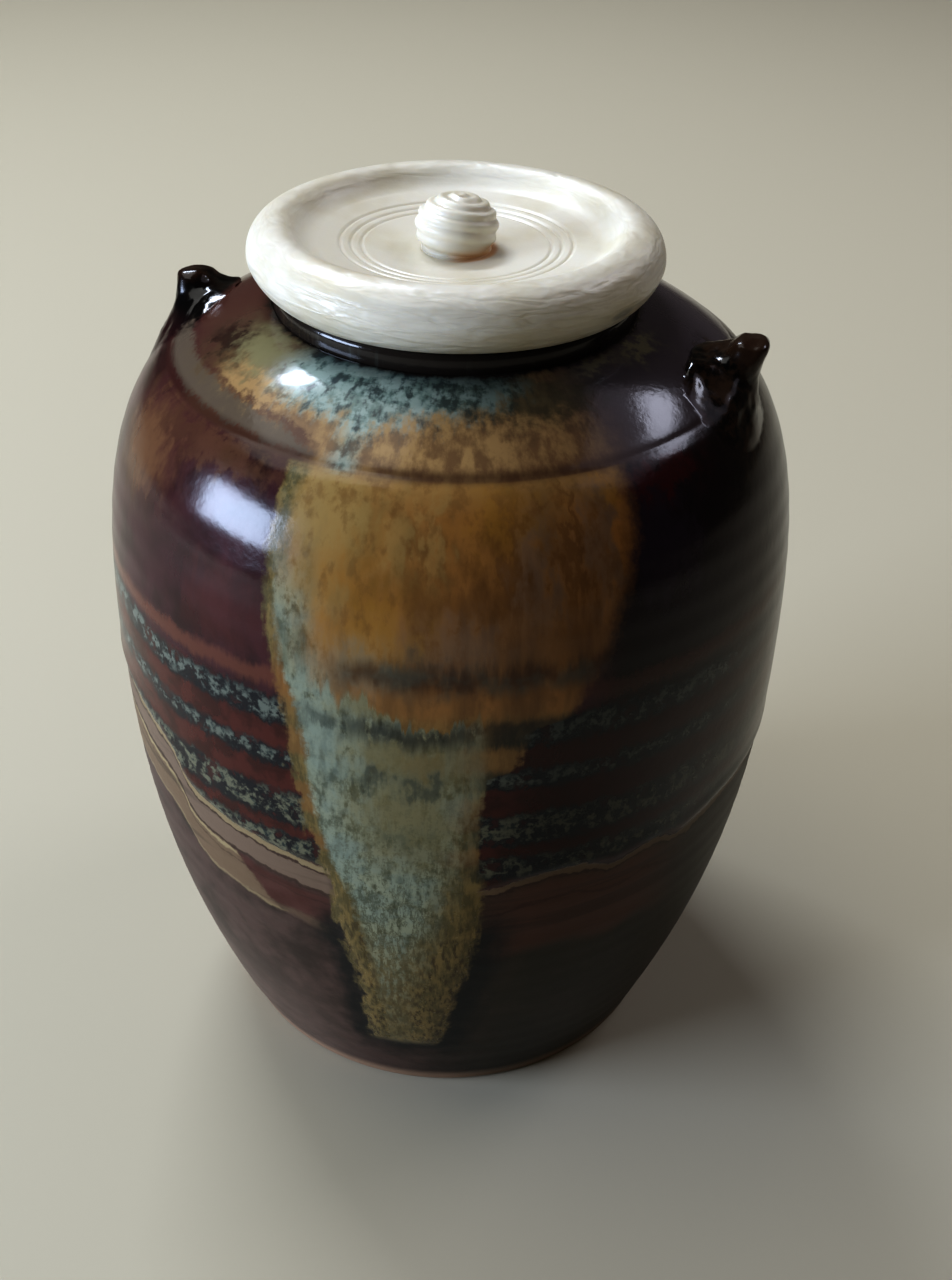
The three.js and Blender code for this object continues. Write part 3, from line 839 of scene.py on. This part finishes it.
# the amber panel, its crossing bands and ochre borders, and the pale ash that runs down over it
def fieldPaint(g, at, ink, field, inPale):
    colour = g.blend(ink["amberDeep"], ink["amber"], (at.streaks * 0.6 + at.runs * 0.4).rise(0.34, 0.6))
    colour = g.blend(colour, ink["amberPale"], at.up.rise(72.6, 75) * 0.45)
    colour = addTouches(g, at, ink, colour, "amber")
    colour = g.blend(colour, ink["amberDeep"], at.cloud.rise(0.48, 0.66) * 0.4)
    oliveClouds = (at.cloud * 0.6 + at.fineRuns * 0.4).rise(0.42, 0.56)
    border = g.blend(ink["ochre"], ink["olive"], oliveClouds * 0.65)
    for low, high in glaze["orangeSpans"]:
        border = g.blend(border, ink["orange"], at.upW.within(low, high, 0.5) * 0.5)
    colour = g.blend(colour, border, at.upW.fall(52, 60).most(at.degreesW.fall(-117.5, -114.5)))
    for top, bottom in glaze["bands"]:
        cross = at.upW.within(bottom, top, 0.6) * at.degreesW.rise(-90, -82)
        colour = g.blend(colour, ink["tealDark"], cross * 0.75)
    darkLine = g.blend(ink["tealDim"], ink["lineBrown"], at.medium.rise(0.4, 0.6))
    ragged = (at.runs - 0.5) * 3.5
    line = (at.up + ragged).within(59, 61.2, 1) * at.degreesW.rise(-110, -102)
    colour = g.blend(colour, darkLine, line * 0.65)
    streaky = at.fineRuns.rise(0.5, 0.64) * at.up.fall(28, 36)
    colour = g.blend(colour, ink["lineBrown"], streaky * 0.5)

    ash = g.blend(ink["ashDark"], ink["ash"], (at.blotch * 0.75 + at.fine * 0.25).rise(0.37, 0.56))
    ash = g.blend(ash, ink["ashBlue"], at.medium.fall(0.42, 0.56) * 0.5)
    ash = g.blend(ash, ink["ashOchre"], at.broad.rise(0.42, 0.6) * at.degrees.rise(-108, -98) * 0.6)
    ash = addTouches(g, at, ink, ash, "run")
    wash = (at.up + ragged).within(53.8, 56, 1.1) * at.degreesW.rise(-112, -100)
    ash = g.blend(ash, ink["tealDark"], wash * at.cloud.rise(0.34, 0.5) * 0.8)
    ochreSpan = at.upW.within(56.4, 58.8, 0.6) * at.degreesW.rise(-110, -102)
    ash = g.blend(ash, ink["ashOchre"], ochreSpan * 0.7)
    grit = (at.fineRuns * 0.5 + at.grains * 0.5).rise(0.5, 0.6) * (at.up.fall(34, 52) * 0.5 + 0.12)
    ash = g.blend(ash, ink["ashDark"], grit)
    hairs = at.fineRuns.within(0.5, 0.56, 0.02) * at.up.fall(34, 42)
    ash = g.blend(ash, ink["ashDark"], hairs * 0.6)
    thin = (at.fineRuns * 0.6 + at.fine * 0.4).rise(0.4, 0.58) * at.up.fall(22, 34)
    ash = g.blend(ash, ink["ochre"], thin * 0.7)
    return g.blend(colour, ash, inPale)


# the slope above the ring, left to right: taupe band and olive, pale ash over amber, dark brown
def slopePaint(g, at, ink):
    clouded = (at.flow * 0.6 + at.cloud * 0.4).rise(0.4, 0.6)
    amber = g.blend(ink["slopeAmber"], ink["slopeBrown"], clouded * 0.65)
    amber = g.blend(amber, ink["slopeBrown"], at.degrees.rise(-92, -62) * 0.4)
    amber = g.blend(amber, ink["slopeBrown"], at.upW.fall(75.4, 76.6) * 0.4)
    colour = g.blend(ink["slopeBrown"], amber, at.degreesW.within(-119, -58, 5))
    colour = g.blend(colour, ink["slopeRust"], at.degreesW.fall(-154, -142) * at.showing * 0.7)
    # purple-grey over the slope's right side and back: partly the glaze's own dark grey, partly a painted
    # sheen standing for the dim room's reflection
    colour = g.blend(colour, ink["slopeGreyAndSheen"], at.degreesW.rise(-70, -50) * at.degreesW.fall(30, 80))
    hairs = (at.fineFlow - 0.5) * 2.4
    below = g.follow(at.degrees, glaze["taupeTop"]) - at.upW
    left = at.degreesW.fall(-119, -114) * at.showing
    amberEdge = (below + 3 + hairs).rise(-0.6, 0.8) * at.degreesW.within(-152, -118, 5)
    colour = g.blend(colour, ink["slopeAmber"], amberEdge * 0.85)
    rust = (below + 2 + hairs).rise(-0.5, 0.6) * at.degreesW.within(-172, -118, 4)
    colour = g.blend(colour, ink["slopeRust"], rust * (below + 2.2).fall(0.4, 2.2) * 0.75)
    colour = g.blend(colour, ink["slopeRust"], (below + 0.7).rise(-0.5, 0.3) * left * 0.85)
    strip = below.rise(-0.3, 0.3) * at.upW.rise(75.3, 75.8) * left
    colour = g.blend(colour, ink["slopeBand"], strip * 0.9)
    colour = addTouches(g, at, ink, colour, "slope")
    aboveEdge = at.upW - g.follow(at.degrees, glaze["ashEdge"])
    wash = (aboveEdge + (at.flow - 0.5) * 7).rise(-1, 1.6) * at.degreesW.within(-135, -72, 7)
    drip = at.degreesW.within(-112, -108, 2.5) * at.upW.within(74, 80, 1.5) * 0.75
    ash = g.blend(ink["slopePale"], ink["slopeAsh"], at.cloud.rise(0.4, 0.6))
    ash = g.blend(ash, ink["slopeTeal"], (at.flow * 0.5 + at.cloud * 0.5).rise(0.48, 0.6) * 0.85)
    ash = g.blend(ash, ink["slopeTeal"], at.upW.rise(82, 84.5) * 0.6)
    ash = g.blend(ash, ink["slopeMoss"], at.degrees.rise(-108, -78) * 0.6)
    colour = g.blend(colour, ash, wash.most(drip) * 0.92)
    ringShade = at.up.within(74.7, 75.7, 0.35) * (1 - at.degreesW.within(-115, -104, 4))
    colour = g.blend(colour, ink["lineBrown"], ringShade * 0.5)
    # dark towards the neck: partly the neck's own dark glaze, partly painted shade under the lid's
    # overhang
    return g.blend(colour, ink["neck"], (at.up + (at.flow - 0.5) * 1.5).rise(83.9, 84.8))


def glazeMaterial():
    g = Book("caddyGlaze")
    ink = {name: tone(code) for name, code in inks.items()}
    at = wallPlaces(g)

    fieldLeft, fieldRight, paleLeft = (
        g.follow(at.up, glaze[side]) for side in ("fieldLeft", "fieldRight", "paleLeft"))
    paleRight = g.follow(at.up + (at.runs - 0.5) * 6 * at.up.rise(48, 54), glaze["paleRight"])
    ended = at.upW.rise(glaze["runEnd"] - 0.8, glaze["runEnd"] + 0.8)
    soft = at.up.rise(52, 62) * 1.6 + 0.7  # the panel's right side is hazy, the run's is sharper
    rightSide = ((fieldRight - at.degreesW) / soft).rise(-1, 1)
    ragged = (at.cloud - 0.5) * 6 * at.up.fall(50, 57)
    field = (at.degreesW + ragged - fieldLeft).rise(-0.7, 0.7) * rightSide * ended
    inPale = (at.degreesW - paleLeft).rise(-0.7, 1.1) * (paleRight - at.degreesW).rise(-4, 4)
    inPale = inPale * (at.up.rise(12, 34) * 0.65 + 0.3) * (at.up.fall(63, 71) * 0.85 + 0.15)
    halo = (at.degreesW - fieldLeft).rise(-6, -1) * (fieldRight - at.degreesW).rise(-9, -1)
    halo = halo * at.up.within(8, 32, 3) * (0.95 + (at.medium - 0.5))

    hem = g.follow(at.degrees, glaze["hem"])
    under = hem - at.up - (at.fine - 0.5) * 0.7 - (at.medium - 0.5) * 1.4
    upper = under.fall(-0.3, 0.1)
    colour = bandPaint(g, at, ink, groundPaint(g, at, ink))
    bare = g.blend(lowerPaint(g, at, ink, under), ink["halo"], halo.least(0.9))
    colour = g.blend(bare, colour, upper)
    colour = g.blend(colour, fieldPaint(g, at, ink, field, inPale), field)
    colour = g.blend(colour, slopePaint(g, at, ink), at.up.rise(74.6, 75.2))

    # lugs, black and glossy, brown on their thin edges: what stands off the wall near their places
    points = [(float(r), float(surfaceHeight(r))) for r in np.linspace(17, 33, 17)]
    off = at.z - g.follow(at.radius, points)
    heading = math.radians(lug["turn"])
    side = at.x * -math.sin(heading) + at.y * math.cos(heading) + 2
    reach = at.x * math.cos(heading) + at.y * math.sin(heading)
    near = (side * side).fall(32, 50) * (reach * reach).rise(450, 500) * at.z.rise(69, 70.5)
    onLug = near * (off + (at.fine - 0.5) * 0.8).rise(0.1, 0.45)
    lugInk = g.blend(ink["lugBlack"], ink["lugEdge"], (at.z + (at.medium - 0.5) * 4).rise(77.6, 80) * 0.7)
    clouded = (at.medium * 0.5 + at.fine * 0.5).rise(0.4, 0.6)
    lugInk = g.blend(lugInk, ink["lugBrown"], at.x.rise(-2, 2) * clouded * 0.8)
    lugInk = g.blend(lugInk, ink["plumDeep"], at.x.fall(-2, 2) * at.z.fall(75, 77))
    colour = g.blend(colour, lugInk, onLug)
    inside = at.z.rise(3, 3.4) * at.radius.fall(13.8, 13.9)
    colour = g.blend(colour, ink["inside"], inside)

    gloss = upper.most(field * 0.7).most(onLug)
    dryAsh = inPale * field * at.up.fall(73, 75)
    rough = glaze["rough"] - gloss * glaze["gloss"] - at.up.rise(75, 77) * glaze["slopeGloss"]
    rough = rough + (at.fine - 0.5) * glaze["roughGrain"] + dryAsh * glaze["ashRough"]
    height = at.medium * 0.22 + at.fine * 0.1 + at.grains * 0.03 + upper * 0.25
    bump = g.node("ShaderNodeBump", None, {
        "Strength": glaze["bumpStrength"], "Distance": glaze["bumpDistance"], "Height": height})
    return g.surface(**{"Base Color": colour, "Roughness": rough, "Normal": bump,
                        "IOR": glaze["ior"], "Specular IOR Level": glaze["specular"]})


# Lid material: cream, with a faint wavy grain and amber low on the knob's foot, on its front and right
ivory = {
    "inks": {
        "cream": "d9d3c2",
        "shade": "c9bfa4",
        "grain": "a89c84",
        "amber": "c98f4c",
        "spot": "6a6a66",
    },
    "spotDegrees": -41,  # the grey spot on the front of the rim
    "spotHeight": 83.4,
    "rough": 0.38,
    "roughGrain": 0.08,
    "bumpStrength": 0.5,
    "bumpDistance": 0.0005,
    "ior": 1.5,
    "glow": 0.25,  # light that passes below the surface
    "glowRadius": (1, 0.75, 0.45),
    "glowScale": 0.0015,
}


def ivoryMaterial():
    g = Book("ivoryLid")
    ink = {name: tone(code) for name, code in ivory["inks"].items()}
    place, x, y, z, radius, degrees = g.places()
    cloud = g.noise(place, 0.12, 3)
    fine = g.noise(place, 1.2, 3)
    onRim = radius.rise(13, 15.5)
    # the grain crosses the rim aslant in long waves
    slanted = g.node("ShaderNodeCombineXYZ", None, {0: x * 0.24, 1: y * 0.24, 2: z * 1.5 + x * 0.09})
    grain = g.noise(slanted, 1, 2, 0.5, 0.5)
    colour = g.blend(ink["cream"], ink["shade"], cloud.rise(0.42, 0.7) * 0.7)
    colour = g.blend(colour, ink["grain"], grain.within(0.44, 0.56, 0.06) * onRim * 0.16)
    sideways = (degrees - ivory["spotDegrees"]) / 5
    upward = z - ivory["spotHeight"]
    away = sideways * sideways + upward * upward * 3
    colour = g.blend(colour, ink["spot"], away.fall(0.1, 1.2) * onRim * 0.5)
    # amber low on the knob's foot, on its front and right side only
    footTint = (z - lid["dishFloor"]).fall(0.2, 1.4) * radius.fall(3.4, 3.9) * degrees.within(-95, 60, 20)
    colour = g.blend(colour, ink["amber"], footTint * 0.7)
    rough = ivory["rough"] + (fine - 0.5) * ivory["roughGrain"]
    height = grain * onRim + fine * 0.1
    bump = g.node("ShaderNodeBump", None, {
        "Strength": ivory["bumpStrength"], "Distance": ivory["bumpDistance"], "Height": height})
    return g.surface(**{"Base Color": colour, "Roughness": rough, "Normal": bump, "IOR": ivory["ior"],
                        "Subsurface Weight": ivory["glow"], "Subsurface Radius": ivory["glowRadius"],
                        "Subsurface Scale": ivory["glowScale"]})


caddyBody.data.materials.clear()
caddyBody.data.materials.append(glazeMaterial())
lidPiece.data.materials.append(ivoryMaterial())
print("materials made")

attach(caddyBody, "root")
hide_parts("caddy_body")
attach(lidPiece, "root")
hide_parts("lid")


# Floor and soft window lights: a low one on the left, one high behind, a wide one above,
# and two weak ones on the right
stage = {
    "floor": 3,
    "floorTone": "b9b19b",
    "floorRough": 0.75,
    "world": "b4ada0",
    "worldPower": 0.14,
    "aimHeight": 60,
    "lights": [
        # name, degrees round, degrees up, distance m, width m, height m, watts, tone
        ("windowLeft", -162, 13.5, 0.6, 0.3, 0.18, 4, "d0e1ff"),
        ("windowBack", 118, 51, 0.7, 0.3, 0.07, 2.4, "e4eeff"),
        ("ceiling", 160, 64, 0.9, 0.7, 0.6, 2.2, "fcfbf6"),
        ("windowRight", 28, 43, 0.8, 0.26, 0.12, 0.7, "e8ecff"),
        ("roomRight", 10, 50, 0.8, 0.7, 0.3, 0.5, "e6deee"),
    ],
}


def floorMaterial():
    g = Book("paleFloor")
    return g.surface(**{"Base Color": tone(stage["floorTone"]), "Roughness": stage["floorRough"]})


def makeStage():
    half = stage["floor"] / 2
    corners = [(-half, -half, 0), (half, -half, 0), (half, half, 0), (-half, half, 0)]
    floor = makePiece("floor", corners, [(0, 1, 2, 3)])
    floor.data.materials.append(floorMaterial())
    world = bpy.data.worlds.new("softRoom")
    bpy.context.scene.world = world
    world.use_nodes = True
    background = world.node_tree.nodes["Background"]
    background.inputs["Color"].default_value = tone(stage["world"])
    background.inputs["Strength"].default_value = stage["worldPower"]
    aim = Vector((0, 0, stage["aimHeight"] * mm))
    for name, around, up, distance, width, height, watts, code in stage["lights"]:
        data = bpy.data.lights.new(name, "AREA")
        data.shape = "RECTANGLE"
        data.size = width
        data.size_y = height
        data.energy = watts
        data.color = tone(code)[:3]
        lamp = bpy.data.objects.new(name, data)
        bpy.context.collection.objects.link(lamp)
        turn, lift = math.radians(around), math.radians(up)
        level = math.cos(lift)
        towards = Vector((math.cos(turn) * level, math.sin(turn) * level, math.sin(lift)))
        lamp.location = aim + distance * towards
        lamp.rotation_euler = (aim - lamp.location).to_track_quat("-Z", "Y").to_euler()
        lamp.visible_camera = False


makeStage()
bpy.context.scene.view_settings.view_transform = "Standard"
bpy.context.scene.view_settings.look = "High Contrast"
print("stage set")
